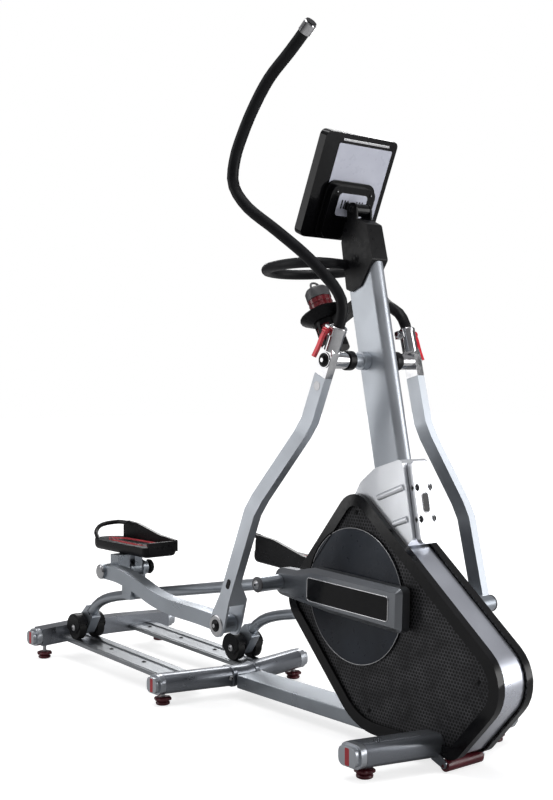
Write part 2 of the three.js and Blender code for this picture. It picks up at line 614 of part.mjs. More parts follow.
function pedal(sign) {
  const top = PEDAL_BASE_Z + PEDAL_THICK;
  const [inner, outer] = PEDAL_X;
  const plan = roundedOutline([
    [sign * outer, -145, 22], [sign * outer, 165, 50], [sign * 130, 232, 60], [sign * inner, 165, 40],
    [sign * inner, -145, 16],
  ], 5);
  const wallSide = roundedOutline([
    [-145, PEDAL_BASE_Z + 14, 0], [-145, top + 17, 4], [-60, top + 24, 90], [70, top + 50, 50], [160, top + 55, 20],
    [160, PEDAL_BASE_Z + 14, 0],
  ], 4);
  const hoop = tube([
    [sign * (inner + 6), 140, top + 46], [sign * (inner + 18), 186, top + 46], [sign * 130, 218, top + 36],
    [sign * 166, 192, top + 18], [sign * (outer - 8), 148, top - 4],
  ], 7, 14, 8);
  const lower = PEDAL_THICK / 2;
  const rounded = new THREE.ExtrudeGeometry(inset(plan, PEDAL_TAPER), {
    depth: PEDAL_THICK, bevelEnabled: true, bevelThickness: lower, bevelSize: PEDAL_TAPER, bevelSegments: 3,
  }).translate(0, 0, PEDAL_BASE_Z + lower);
  const tray = cut(rounded, block(-300, 300, -300, 400, top, top + 2 * PEDAL_THICK));
  return join(
    tray,
    plateX(wallSide, sign * inner, sign * (inner + 11)),
    block(sign * (inner + 1), sign * (outer - 14), -144.5, -133, PEDAL_BASE_Z + 14, top + 14),
    hoop,
  );
}

// ---- swing arm, drawn hanging straight down with the cross-shaft at the origin ----
const SOCKET_X = 150;
const SOCKET_TOP = 92;
const HANDLE_RADIUS = 15;
const HANDLE_HEIGHT = { right: 0, left: -14 }; // each handle slides in its socket
const FORK_ROOT = -712; // the slot is deep enough for the pedal arm's eye to rise in mid-stride
const CHROME_END = -43; // where the chrome bracket meets the silver arm

function swingBracket(sign) {
  const [inner, outer] = [ARM_OUTER - ARM_THICK, ARM_OUTER];
  const cheek = roundedOutline([
    [-ARM_HALF_DEPTH, CHROME_END, 0], [ARM_HALF_DEPTH, CHROME_END, 0], [ARM_HALF_DEPTH, 40, 20],
    [-ARM_HALF_DEPTH, 40, 20],
  ], 5);
  const hubTube = rodX(22, sign * 98, sign * (inner + 1));
  const socket = plateZ(circleOutline(21), 26, SOCKET_TOP).translate(sign * SOCKET_X, 0, 0);
  const ear = block(sign * (SOCKET_X - 24), sign * (SOCKET_X + 24), -8, 24, SOCKET_TOP - 24, SOCKET_TOP - 4);
  return cut(
    join(plateX(cheek, sign * inner, sign * outer), hubTube, socket, ear),
    rodX(AXLE_RADIUS + GAP, sign * 90, sign * 180),
    plateZ(circleOutline(HANDLE_RADIUS + 0.6), 30, SOCKET_TOP + 5).translate(sign * SOCKET_X, 0, 0),
  );
}

function swingArm(sign) {
  const top = ARM_OUTER - ARM_THICK / 2;
  const low = top + ARM_SPLAY;
  const path = [[sign * top, CHROME_END - GAP], [sign * top, -170], [sign * (top + 12), -212],
    [sign * (low - 12), -392], [sign * low, -434], [sign * low, FORK_ROOT + 4]];
  const side = path.map(([x, z]) => new THREE.Vector2(x, z));
  const half = ARM_THICK / 2;
  const outline = new THREE.Shape([
    ...side.map((point) => new THREE.Vector2(point.x + half, point.y)),
    ...side.slice().reverse().map((point) => new THREE.Vector2(point.x - half, point.y)),
  ]);
  const gusset = new THREE.Shape([[206, 0], [268, 0], [268, 70], [243, 70], [206, 16]]
    .map(([x, z]) => new THREE.Vector2(sign * x, FORK_ROOT + z)));
  const eye = roundedOutline([
    [-31, -ARM_LENGTH - 31, 28], [31, -ARM_LENGTH - 31, 28], [31, -ARM_LENGTH + 20, 30],
    [ARM_HALF_DEPTH, FORK_ROOT + 14, 0], [-ARM_HALF_DEPTH, FORK_ROOT + 14, 0], [-31, -ARM_LENGTH + 20, 30],
  ], 6);
  return join(
    plateY(outline, -ARM_HALF_DEPTH, ARM_HALF_DEPTH),
    plateX(eye, sign * 261.5, sign * 268),
    plateX(eye, sign * 206, sign * 212.5),
    plateY(gusset, -ARM_HALF_DEPTH, ARM_HALF_DEPTH),
  );
}

const HANDLE_PATH = [
  [150, 0, 48], [150, 0, 104], [150, 0, 110], [150, 12, 148], [157, 44, 177], [176, 82, 201], [210, 129, 232],
  [268, 200, 270], [325, 272, 306], [340, 325, 345], [340, 344, 404], [338, 341, 470], [335, 327, 545],
  [330, 303, 621], [322, 262, 695], [316, 231, 755], [314, 220, 778],
];

const handlebar = (sign) => tube(HANDLE_PATH.map(([x, y, z]) => [sign * x, y, z]), HANDLE_RADIUS, 44, 12);

// The lever closes the clamp; it is drawn closed, with its pin at the origin.
const LEVER_PIN = { x: SOCKET_X + 33, z: SOCKET_TOP - 14 };

function clampLever(sign) {
  const outline = barOutline([[0, 4], [sign * 6, -16], [sign * 9, -44], [sign * 15, -72]], 4.5, 8);
  return join(plateY(outline, 2, 12), plateY(circleOutline(8, 0, 0, 16), 0, 14));
}

// ---- assembly ----
const trainer = new THREE.Group();
trainer.position.y = -MIDDLE_Y;
trainer.add(floorStructure(), driveTrain());
trainer.add(
  mesh('mast', mast(), SILVER),
  mesh('centre_band', centreBand(), SILVER),
  mesh('mast_base_cover', mastBaseCover(), WHITE_PLASTIC),
  mesh('mast_clamp_cover', mastClampCover(), WHITE_PLASTIC),
  mesh('cross_shaft', crossShaft(), SILVER),
  mesh('console_neck', neck(), BLACK_PLASTIC),
  placed(mesh('console', console(), GLOSS_BLACK), 0, TILT_AXIS.y, TILT_AXIS.z),
  mesh('fixed_handlebar', fixedHandlebar(), FOAM),
  mesh('bottle_holder', bottleHolder(), BLACK_PLASTIC),
  mesh('bottle', bottle(), DARK_RED),
);

for (const side of SIDES) {
  const { name, sign } = side;
  trainer.add(mesh(`side_cover_${name}`, sideCover(sign), BLACK_PLASTIC), crank(side));

  // everything that slides with the pedal starts at the front of the stride on the left
  const stride = new THREE.Group();
  if (sign > 0) stride.position.set(0, STRIDE_Y, STRIDE_Z);
  stride.add(
    mesh(`roller_tube_${name}`, rollerTube(sign), SILVER),
    mesh(`carriage_bracket_${name}`, carriageBracket(sign), SILVER),
  );
  for (const [place, offset] of [['inner', -WHEEL_SPACING], ['outer', WHEEL_SPACING]]) {
    const wheel = mesh(`carriage_wheel_${place}_${name}`, carriageWheel(sign, offset), RUBBER);
    stride.add(placed(wheel, 0, WHEEL_Y, WHEEL_Z));
  }
  const pedalGroup = placed(new THREE.Group(), 0, ARM_PIVOT.y, ARM_PIVOT.z, PEDAL_ARM_TURN[name]);
  pedalGroup.add(
    mesh(`pedal_arm_${name}`, pedalArm(sign), SILVER),
    mesh(`pedal_${name}`, pedal(sign), BLACK_PLASTIC),
  );
  stride.add(pedalGroup);
  trainer.add(stride);

  const swing = placed(new THREE.Group(), 0, SHAFT.y, SHAFT.z, SWING_REST[name]);
  swing.add(
    mesh(`swing_bracket_${name}`, swingBracket(sign), CHROME),
    mesh(`swing_arm_${name}`, swingArm(sign), SILVER),
    placed(mesh(`handlebar_${name}`, handlebar(sign), FOAM), 0, 0, HANDLE_HEIGHT[name]),
    placed(mesh(`clamp_lever_${name}`, clampLever(sign), RED), sign * LEVER_PIN.x, 0, LEVER_PIN.z),
  );
  trainer.add(swing);
}

export default trainer;
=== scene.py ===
"""Looks for the front-drive elliptical trainer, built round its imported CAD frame.

The frame is in metres. Trim pieces are drawn in millimetres in the rest frame of the body they ride,
and piece() turns them into metres.
"""
import json
import math

import bmesh
import bpy
from mathutils import Matrix, Vector


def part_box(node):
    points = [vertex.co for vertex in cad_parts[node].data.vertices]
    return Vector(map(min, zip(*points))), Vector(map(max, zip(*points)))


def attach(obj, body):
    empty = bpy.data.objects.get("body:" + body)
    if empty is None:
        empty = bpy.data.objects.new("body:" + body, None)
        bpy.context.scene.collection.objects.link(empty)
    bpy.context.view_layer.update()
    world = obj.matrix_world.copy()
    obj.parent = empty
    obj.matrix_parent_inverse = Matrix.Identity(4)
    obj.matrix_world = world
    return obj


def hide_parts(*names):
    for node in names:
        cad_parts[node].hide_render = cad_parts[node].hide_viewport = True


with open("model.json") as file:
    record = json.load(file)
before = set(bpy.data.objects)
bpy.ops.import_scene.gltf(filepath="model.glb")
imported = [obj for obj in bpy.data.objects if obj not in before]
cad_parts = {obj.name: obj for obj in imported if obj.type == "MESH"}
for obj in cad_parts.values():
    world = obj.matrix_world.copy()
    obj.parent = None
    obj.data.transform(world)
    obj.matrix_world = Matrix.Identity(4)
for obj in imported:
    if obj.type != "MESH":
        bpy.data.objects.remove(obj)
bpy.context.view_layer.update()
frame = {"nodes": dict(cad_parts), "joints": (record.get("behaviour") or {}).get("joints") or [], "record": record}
NODES = frame["nodes"]
JOINTS = {joint["name"]: joint for joint in frame["joints"]}
SIDES = (("right", -1), ("left", 1))


def joint_place(name):
    """A joint's position at rest, in millimetres."""
    return Vector(JOINTS[name]["pos_m"]) * 1000


def node_box(name):
    """A CAD node's lowest and highest corner, in millimetres."""
    low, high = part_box(name)
    return low * 1000, high * 1000


def turned(origin, angle):
    """A frame at origin, turned about the machine's X axis."""
    return Matrix.Translation(origin) @ Matrix.Rotation(angle, 4, "X")


# ---- rest frames of the moving bodies ----
RAIL_TILT = math.radians(2)
CRANK_CENTRE = joint_place("crank_turn")
SWING_REST = {"right": math.radians(24.54), "left": math.radians(-13.5)}
PEDAL_REST = {"right": 0.0, "left": math.radians(2.9)}
CONSOLE_LEAN = math.radians(24)
MAST_LEAN = math.radians(11.65)
ARM_LENGTH = 784.9
HANDLE_HEIGHT = {"right": 0, "left": -14}
crank_frame = {
    "right": turned(CRANK_CENTRE, RAIL_TILT),
    "left": turned(CRANK_CENTRE, RAIL_TILT + math.pi),
}
swing_frame = {}
pedal_frame = {}
for side, sign in SIDES:
    shaft = joint_place(f"{side}_arm_swing")
    swing_frame[side] = turned((0, shaft.y, shaft.z), SWING_REST[side])
    hinge = joint_place(f"{side}_pedal_arm_tilt")
    pedal_frame[side] = turned((0, hinge.y, hinge.z), PEDAL_REST[side])
console_frame = turned(joint_place("console_tilt"), CONSOLE_LEAN)


# ---- material helpers ----
class Surface:
    """A node material under construction, with short calls for the nodes used here."""

    def __init__(self, name):
        self.material = bpy.data.materials.new(name)
        self.material.use_nodes = True
        self.tree = self.material.node_tree
        self.shader = self.tree.nodes["Principled BSDF"]
        coordinates = self.tree.nodes.new("ShaderNodeTexCoord")
        self.place = coordinates.outputs["Object"]
        self.normal = coordinates.outputs["Normal"]
        split = self.tree.nodes.new("ShaderNodeSeparateXYZ")
        self.tree.links.new(self.place, split.inputs[0])
        self.x, self.y, self.z = split.outputs

    def feed(self, socket, value):
        if isinstance(value, bpy.types.NodeSocket):
            self.tree.links.new(value, socket)
        else:
            socket.default_value = value

    def math(self, operation, first, second=0.0, third=0.0):
        node = self.tree.nodes.new("ShaderNodeMath")
        node.operation = operation
        for socket, value in zip(node.inputs, (first, second, third)):
            self.feed(socket, value)
        return node.outputs[0]

    def part(self, vector, index):
        node = self.tree.nodes.new("ShaderNodeSeparateXYZ")
        self.tree.links.new(vector, node.inputs[0])
        return node.outputs[index]

    def mix(self, factor, first, second):
        node = self.tree.nodes.new("ShaderNodeMix")
        node.data_type = "RGBA"
        self.feed(node.inputs["Factor"], factor)
        self.feed(node.inputs[6], first)
        self.feed(node.inputs[7], second)
        return node.outputs[2]

    def blend(self, noise, first, second):
        """Two colours mixed in patches that follow a noise."""
        return self.mix(self.spread(noise, 0, 1), first, second)

    def length(self, first, second):
        """The length of a flat vector, from its two parts."""
        squared = self.math("ADD", self.math("MULTIPLY", first, first), self.math("MULTIPLY", second, second))
        return self.math("SQRT", squared)

    def noise(self, scale, detail=3.0, stretch=(1, 1, 1)):
        mapping = self.tree.nodes.new("ShaderNodeMapping")
        mapping.inputs["Scale"].default_value = stretch
        self.tree.links.new(self.place, mapping.inputs[0])
        node = self.tree.nodes.new("ShaderNodeTexNoise")
        node.inputs["Scale"].default_value = scale
        node.inputs["Detail"].default_value = detail
        self.tree.links.new(mapping.outputs[0], node.inputs["Vector"])
        return node.outputs["Fac"]

    def cells(self, scale):
        node = self.tree.nodes.new("ShaderNodeTexVoronoi")
        node.inputs["Scale"].default_value = scale
        self.tree.links.new(self.place, node.inputs["Vector"])
        return node.outputs["Distance"]

    def spread(self, value, low, high):
        """Stretches noise, which stays mostly between 0.3 and 0.7, over low to high."""
        node = self.tree.nodes.new("ShaderNodeMapRange")
        for socket, number in zip(node.inputs[1:5], (0.3, 0.7, low, high)):
            socket.default_value = number
        self.feed(node.inputs[0], value)
        return node.outputs[0]

    def bump(self, height, strength, distance):
        node = self.tree.nodes.new("ShaderNodeBump")
        node.inputs["Strength"].default_value = strength
        node.inputs["Distance"].default_value = distance
        self.feed(node.inputs["Height"], height)
        if self.shader.inputs["Normal"].is_linked:
            before = self.shader.inputs["Normal"].links[0].from_socket
            self.tree.links.new(before, node.inputs["Normal"])
        self.tree.links.new(node.outputs[0], self.shader.inputs["Normal"])

    def finish(self, color, metallic, roughness, coat=0.0, specular=0.5):
        self.shader.inputs["Specular IOR Level"].default_value = specular
        self.feed(self.shader.inputs["Base Color"], color)
        self.feed(self.shader.inputs["Metallic"], metallic)
        self.feed(self.shader.inputs["Roughness"], roughness)
        if coat:
            self.shader.inputs["Coat Weight"].default_value = coat
            self.shader.inputs["Coat Roughness"].default_value = 0.06
        return self.material


def rgb(red, green, blue):
    return (red, green, blue, 1.0)


FLAKE_SCALE = 1600


def metallic_paint(name, light, dark, coat=0.5, roughness=0.32):
    """Sprayed metallic paint: fine flake, slow colour drift and a clear coat."""
    look = Surface(name)
    flake = look.noise(FLAKE_SCALE, 1)
    drift = look.noise(9)
    shade = look.math("MULTIPLY_ADD", flake, 0.5, look.math("MULTIPLY", drift, 0.5))
    look.bump(flake, 0.06, 0.0004)
    look.bump(look.noise(260, 2), 0.03, 0.0006)
    color = look.blend(shade, dark, light)
    return look.finish(color, 0.88, look.spread(drift, roughness - 0.06, roughness + 0.06), coat)


def chrome_plate():
    look = Surface("chrome_plate")
    haze = look.noise(40)
    color = look.blend(haze, rgb(0.42, 0.42, 0.43), rgb(0.56, 0.56, 0.57))
    look.bump(look.noise(500, 2), 0.02, 0.0003)
    return look.finish(color, 1.0, look.spread(haze, 0.06, 0.15))


def brushed_metal(name, light, dark, stretch, roughness):
    look = Surface(name)
    streak = look.noise(900, 4, stretch)
    color = look.blend(streak, dark, light)
    look.bump(streak, 0.12, 0.0003)
    return look.finish(color, 1.0, look.spread(streak, roughness - 0.07, roughness + 0.08))


def moulded_plastic(name, light, dark, roughness, grain=700, depth=0.25, coat=0.0, specular=0.5):
    """Moulded plastic with a fine spark-eroded grain."""
    look = Surface(name)
    drift = look.noise(14)
    color = look.blend(drift, dark, light)
    look.bump(look.noise(grain, 3), depth, 0.0005)
    gloss = look.spread(look.noise(60), roughness - 0.05, roughness + 0.07)
    return look.finish(color, 0.0, gloss, coat, specular)


def foam_grip():
    look = Surface("foam_grip")
    pores = look.cells(900)
    color = look.blend(look.noise(30), rgb(0.006, 0.006, 0.007), rgb(0.012, 0.0125, 0.014))
    look.bump(pores, 0.12, 0.0004)
    look.bump(look.noise(45, 2), 0.04, 0.0008)
    return look.finish(color, 0.0, look.spread(pores, 0.38, 0.52), specular=0.18)


PANEL_FACE = 0.058  # distance from the middle plane that parts the rim from the mesh panel
MESH_PITCH = 0.0098  # metres between holes in a row
HOLE_SHARE = 0.36  # radius of a hole, as a share of the pitch
MESH_OFFSET = 20  # whole pitches that keep the pattern's coordinates positive


def perforated_cover():
    """Gloss black rim round a dark panel with staggered round perforations."""
    look = Surface("perforated_cover")
    depth = look.math("ABSOLUTE", look.x)
    facing_out = look.math("GREATER_THAN", look.math("ABSOLUTE", look.part(look.normal, 0)), 0.9)
    on_panel = look.math("MULTIPLY", look.math("LESS_THAN", depth, PANEL_FACE), facing_out)
    nearest = None
    for shift in (0.0, 0.5):
        columns = look.math("DIVIDE", look.y, MESH_PITCH)
        across = look.math("FRACT", look.math("ADD", columns, MESH_OFFSET + shift))
        rows = look.math("DIVIDE", look.z, MESH_PITCH * math.sqrt(3))
        along = look.math("FRACT", look.math("ADD", rows, MESH_OFFSET + shift))
        du = look.math("SUBTRACT", across, 0.5)
        dv = look.math("MULTIPLY", look.math("SUBTRACT", along, 0.5), math.sqrt(3))
        distance = look.length(du, dv)
        nearest = distance if nearest is None else look.math("MINIMUM", nearest, distance)
    hole = look.math("MULTIPLY", look.math("LESS_THAN", nearest, HOLE_SHARE), on_panel)
    steel = look.blend(look.noise(25), rgb(0.035, 0.035, 0.038), rgb(0.085, 0.085, 0.09))
    gloss = look.blend(look.noise(12), rgb(0.003, 0.003, 0.0035), rgb(0.006, 0.006, 0.007))
    color = look.mix(hole, look.mix(on_panel, gloss, steel), rgb(0.002, 0.002, 0.002))
    look.bump(look.math("SUBTRACT", 1.0, hole), 0.9, 0.0012)
    base = look.spread(look.noise(90), 0.1, 0.18)
    roughness = look.math("MULTIPLY_ADD", on_panel, 0.28, base)
    metal = look.math("MULTIPLY", look.math("SUBTRACT", on_panel, hole), 0.6)
    return look.finish(color, metal, roughness, specular=0.22)


TREAD_START = 0.105  # the treads on the front stabiliser start this far from the middle, in metres
TREAD_HEIGHT = 0.0885  # and cover what is above this height
TREAD_REAR = -0.5  # and in front of this line
TREAD_FREQUENCY = 480  # radians per metre


def stabiliser_paint():
    """Metallic paint, with a diamond tread raised on the outer parts of the front stabiliser's top."""
    look = Surface("stabiliser_paint")
    first = look.math("SINE", look.math("MULTIPLY", look.math("ADD", look.x, look.y), TREAD_FREQUENCY))
    second = look.math("SINE", look.math("MULTIPLY", look.math("SUBTRACT", look.x, look.y), TREAD_FREQUENCY))
    diamond = look.math("MULTIPLY", first, second)
    outer = look.math("GREATER_THAN", look.math("ABSOLUTE", look.x), TREAD_START)
    top = look.math("GREATER_THAN", look.z, TREAD_HEIGHT)
    front = look.math("LESS_THAN", look.y, TREAD_REAR)
    tread = look.math("MULTIPLY", look.math("MULTIPLY", outer, top), front)
    flake = look.noise(FLAKE_SCALE, 1)
    color = look.blend(flake, rgb(0.15, 0.16, 0.18), rgb(0.22, 0.235, 0.26))
    look.bump(look.math("MULTIPLY", diamond, tread), 0.7, 0.0012)
    look.bump(flake, 0.06, 0.0004)
    return look.finish(color, 0.85, look.spread(look.noise(11), 0.27, 0.38), 0.4)


RING_FREQUENCY = 2600  # radians per metre, for the turned rings


def disc_plastic():
    """Navy-black satin disc with faint turned rings."""
    look = Surface("disc_plastic")
    dy = look.math("SUBTRACT", look.y, CRANK_CENTRE.y / 1000)
    dz = look.math("SUBTRACT", look.z, CRANK_CENTRE.z / 1000)
    rings = look.math("SINE", look.math("MULTIPLY", look.length(dy, dz), RING_FREQUENCY))
    look.bump(rings, 0.05, 0.0003)
    color = look.blend(look.noise(7), rgb(0.008, 0.011, 0.018), rgb(0.02, 0.027, 0.04))
    return look.finish(color, 0.0, look.spread(look.noise(50), 0.26, 0.36), specular=0.25)


SILVER = metallic_paint("silver_paint", rgb(0.36, 0.39, 0.43), rgb(0.28, 0.305, 0.335))
# A brighter copy of the silver paint for the mast, cross shaft and swing arms: painted light, standing in for the
# key light that falls on their outer faces.
LIT_ARM_SILVER = metallic_paint("lit_arm_silver", rgb(0.53, 0.56, 0.6), rgb(0.45, 0.48, 0.52), 0.2, 0.42)
BAND_SILVER = metallic_paint("band_silver", rgb(0.6, 0.62, 0.68), rgb(0.5, 0.52, 0.58))
CAP_SILVER = metallic_paint("cap_silver", rgb(0.42, 0.44, 0.47), rgb(0.32, 0.34, 0.37))
GREY = metallic_paint("crank_grey", rgb(0.2, 0.21, 0.225), rgb(0.14, 0.148, 0.16), 0.2)
RED_METALLIC = metallic_paint("red_metallic", rgb(0.55, 0.015, 0.03), rgb(0.3, 0.006, 0.015), 0.8)
STABILISER = stabiliser_paint()
CHROME = chrome_plate()
RAIL = brushed_metal("rail_aluminium", rgb(0.36, 0.375, 0.39), rgb(0.22, 0.23, 0.245), (1, 0.02, 1), 0.34)
STEEL = brushed_metal("machined_steel", rgb(0.55, 0.55, 0.56), rgb(0.36, 0.36, 0.37), (0.03, 1, 1), 0.36)
IRON = brushed_metal("cast_iron", rgb(0.12, 0.12, 0.13), rgb(0.06, 0.06, 0.065), (1, 1, 1), 0.5)
PEARL = metallic_paint("pearl_silver", rgb(0.81, 0.828, 0.855), rgb(0.756, 0.774, 0.81), 0.5, 0.4)
BLACK = moulded_plastic("black_plastic", rgb(0.008, 0.008, 0.009), rgb(0.004, 0.004, 0.0045), 0.3, 700,
                        0.1, specular=0.16)
GLOSS = moulded_plastic("gloss_black", rgb(0.005, 0.005, 0.006), rgb(0.003, 0.003, 0.0035), 0.12, 300,
                        0.02, specular=0.18)
RUBBER = moulded_plastic("black_rubber", rgb(0.012, 0.012, 0.012), rgb(0.006, 0.006, 0.006), 0.5, 1000,
                         0.2, specular=0.2)
DARK_RED = moulded_plastic("dark_red_plastic", rgb(0.12, 0.012, 0.02), rgb(0.06, 0.006, 0.01), 0.32,
                           500, 0.15)
BOTTLE_RED = moulded_plastic("bottle_red", rgb(0.2, 0.01, 0.018), rgb(0.12, 0.006, 0.01), 0.22, 300,
                             0.05, 0.4)
SCREEN = moulded_plastic("screen_glass", rgb(0.05, 0.075, 0.08), rgb(0.03, 0.05, 0.055), 0.08, 200,
                         0.01, 1.0)
PALE_PANEL = moulded_plastic("pale_panel", rgb(0.66, 0.68, 0.78), rgb(0.6, 0.62, 0.72), 0.3, 500, 0.06)
GREY_PLASTIC = moulded_plastic("grey_plastic", rgb(0.1, 0.1, 0.105), rgb(0.07, 0.07, 0.075), 0.36)
RED_LINE = moulded_plastic("red_inlay", rgb(0.45, 0.02, 0.03), rgb(0.35, 0.012, 0.02), 0.4)
FOAM = foam_grip()
PERFORATED = perforated_cover()
DISC = disc_plastic()

NODE_LOOKS = {
    "silver_paint": SILVER, "chrome": CHROME, "rail_aluminium": RAIL, "white_plastic": PEARL,
    "black_plastic": BLACK, "gloss_black": GLOSS, "navy_plastic": DISC, "grey_metallic": GREY,
    "foam": FOAM, "red_paint": RED_METALLIC, "dark_red_plastic": DARK_RED, "steel": STEEL,
    "cast_iron": IRON, "rubber": RUBBER,
}
# The mast, cross shaft and swing arms take the brighter silver copy, which is painted light on the same silver
# paint.
SPECIAL_LOOKS = {
    "centre_band": BAND_SILVER, "bottle": BOTTLE_RED, "mast": LIT_ARM_SILVER, "cross_shaft": LIT_ARM_SILVER,
    "swing_arm_right": LIT_ARM_SILVER, "swing_arm_left": LIT_ARM_SILVER,
}


def node_look(name, slot):
    if "stabiliser" in name:
        return STABILISER
    if "end_cap" in name:
        return CAP_SILVER
    if "side_cover" in name:
        return PERFORATED
    return SPECIAL_LOOKS.get(name, NODE_LOOKS[slot])


WIDE_BEVEL = 0.005  # bevels from this width on get more segments
BEVEL_ANGLE = math.radians(34)  # edges sharper than this are rounded
WELD_DISTANCE = 0.00001


def soften(obj, width):
    """Welds split corners, rounds sharp edges and smooths the shading."""
    mesh = obj.data
    mesh.normals_split_custom_set([(0, 0, 0)] * len(mesh.loops))
    mesh.polygons.foreach_set("use_smooth", [True] * len(mesh.polygons))
    weld = obj.modifiers.new("weld", "WELD")
    weld.merge_threshold = WELD_DISTANCE
    bevel = obj.modifiers.new("bevel", "BEVEL")
    bevel.width = width
    bevel.segments = 2 if width < WIDE_BEVEL else 4
    bevel.limit_method = "ANGLE"
    bevel.angle_limit = BEVEL_ANGLE
    bevel.harden_normals = False
    smooth = obj.modifiers.new("weighted_normal", "WEIGHTED_NORMAL")
    smooth.keep_sharp = False


# The first entry whose key is part of a node's name counts.
EDGE_ROUNDING = {
    "stabiliser": 0.004, "end_cap": 0.006, "main_beam": 0.006, "mast_base": 0.009, "mast_clamp": 0.008,
    "console_neck": 0.007, "console": 0.005, "pedal_arm": 0.009, "pedal": 0.004, "crank_arm": 0.004,
    "swing_arm": 0.007, "swing_bracket": 0.003, "side_cover": 0.004, "carriage_wheel": 0.006, "bottle": 0.002,
    "mast": 0.006,
}
DEFAULT_ROUNDING = 0.0012


def rounding(name):
    for part, width in EDGE_ROUNDING.items():
        if part in name:
            return width
    return DEFAULT_ROUNDING


def dress_nodes():
    for entry in frame["record"]["subparts"]:
        obj = NODES[entry["node"]]
        obj.data.materials.clear()
        obj.data.materials.append(node_look(entry["node"], entry["material_slot"]))
        soften(obj, rounding(entry["node"]))


# ---- shape helpers, in millimetres ----
def piece(name, vertices, faces, material, body, place=Matrix(), edge=0.0):
    """A mesh piece that rides a body. Its vertices are in millimetres in the frame `place`."""
    mesh = bpy.data.meshes.new(name)
    mesh.from_pydata([tuple(Vector(vertex)) for vertex in vertices], [], faces)
    mesh.transform(Matrix.Scale(0.001, 4) @ place)
    shape = bmesh.new()
    shape.from_mesh(mesh)
    bmesh.ops.recalc_face_normals(shape, faces=shape.faces)
    shape.to_mesh(mesh)
    shape.free()
    obj = bpy.data.objects.new(name, mesh)
    bpy.context.scene.collection.objects.link(obj)
    mesh.materials.append(material)
    if edge:
        soften(obj, edge / 1000)
    else:
        mesh.polygons.foreach_set("use_smooth", [True] * len(mesh.polygons))
    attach(obj, body)
    return obj


def rounded(corners, steps=6):
    """A closed outline whose corners (u, v, radius) are rounded by arcs."""
    points = []
    for index, (u, v, radius) in enumerate(corners):
        corner = Vector((u, v))
        before = (Vector(corners[index - 1][:2]) - corner).normalized()
        after = (Vector(corners[(index + 1) % len(corners)][:2]) - corner).normalized()
        if not radius:
            points.append(corner)
            continue
        half = math.acos(max(-1, min(1, before.dot(after)))) / 2
        centre = corner + (before + after).normalized() * radius / math.sin(half)
        start = corner + before * radius / math.tan(half) - centre
        turn = -math.copysign(math.pi - 2 * half, before.x * after.y - before.y * after.x)
        for step in range(steps + 1):
            angle = turn * step / steps
            points.append(centre + Vector((
                start.x * math.cos(angle) - start.y * math.sin(angle),
                start.x * math.sin(angle) + start.y * math.cos(angle))))
    return points


def rectangle(u0, v0, u1, v1, radius):
    return rounded([(u0, v0, radius), (u1, v0, radius), (u1, v1, radius), (u0, v1, radius)])


def circle(radius, step):
    """Points (u, v) round a circle, a step in whole degrees apart."""
    return [(radius * math.cos(math.radians(angle)), radius * math.sin(math.radians(angle)))
            for angle in range(0, 360, step)]


def shrunk(points, distance):
    """The outline moved inwards by a distance."""
    area = sum(p.x * q.y - q.x * p.y for p, q in zip(points, points[1:] + points[:1]))
    inside = []
    for index, point in enumerate(points):
        first = (point - points[index - 1]).normalized()
        second = (points[(index + 1) % len(points)] - point).normalized()
        normal = Vector((-first.y - second.y, first.x + second.x)).normalized()
        share = normal.dot(Vector((-first.y, first.x)))
        inside.append(point + normal * math.copysign(distance, area) / share)
    return inside


AXES = {"X": lambda a, b, w: (w, a, b), "Y": lambda a, b, w: (a, w, b), "Z": lambda a, b, w: (a, b, w)}


def prism(name, outline, axis, low, high, material, body, place=Matrix(), edge=1.0):
    """An outline given thickness along an axis. Outlines run in the other two axes, in X, Y, Z order."""
    to_space = AXES[axis]
    vertices = [to_space(p.x, p.y, depth) for depth in (low, high) for p in outline]
    count = len(outline)
    faces = [list(range(count))[::-1], list(range(count, 2 * count))]
    faces += [[i, (i + 1) % count, (i + 1) % count + count, i + count] for i in range(count)]
    return piece(name, vertices, faces, material, body, place, edge)


def turned_piece(name, profile, material, body, place, segments=28):
    """A profile of (radius, height) turned round the Z axis of `place`; it starts and ends on the axis."""
    rings = profile[1:-1]
    vertices = [(0, 0, profile[0][1])]
    for radius, height in rings:
        for step in range(segments):
            angle = 2 * math.pi * step / segments
            vertices.append((radius * math.cos(angle), radius * math.sin(angle), height))
    vertices.append((0, 0, profile[-1][1]))
    last = len(vertices) - 1
    faces = []
    for step in range(segments):
        following = (step + 1) % segments
        faces.append([0, 1 + following, 1 + step])
        for ring in range(len(rings) - 1):
            start = 1 + ring * segments
            faces.append([start + step, start + following,
                          start + following + segments, start + step + segments])
        end = 1 + (len(rings) - 1) * segments
        faces.append([end + step, end + following, last])
    return piece(name, vertices, faces, material, body, place, 0.4)


def wire(name, points, radius, material, body, place=Matrix(), closed=False, smooth=False):
    """A round wire or bead along points in millimetres."""
    curve = bpy.data.curves.new(name, "CURVE")
    curve.dimensions = "3D"
    curve.bevel_depth = radius / 1000
    curve.bevel_resolution = 4
    curve.use_fill_caps = True
    spline = curve.splines.new("NURBS" if smooth else "POLY")
    spline.points.add(len(points) - 1)
    for target, point in zip(spline.points, points):
        target.co = (*(place @ Vector(point) * 0.001), 1)
    spline.use_cyclic_u = closed
    if smooth:
        spline.order_u = 3
        spline.use_endpoint_u = not closed
        spline.resolution_u = 8
    obj = bpy.data.objects.new(name, curve)
    bpy.context.scene.collection.objects.link(obj)
    curve.materials.append(material)
    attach(obj, body)
    return obj


def facing(origin, outward):
    """A frame at origin whose Z axis points outward."""
    return Matrix.Translation(origin) @ Vector(outward).to_track_quat("Z", "Y").to_matrix().to_4x4()


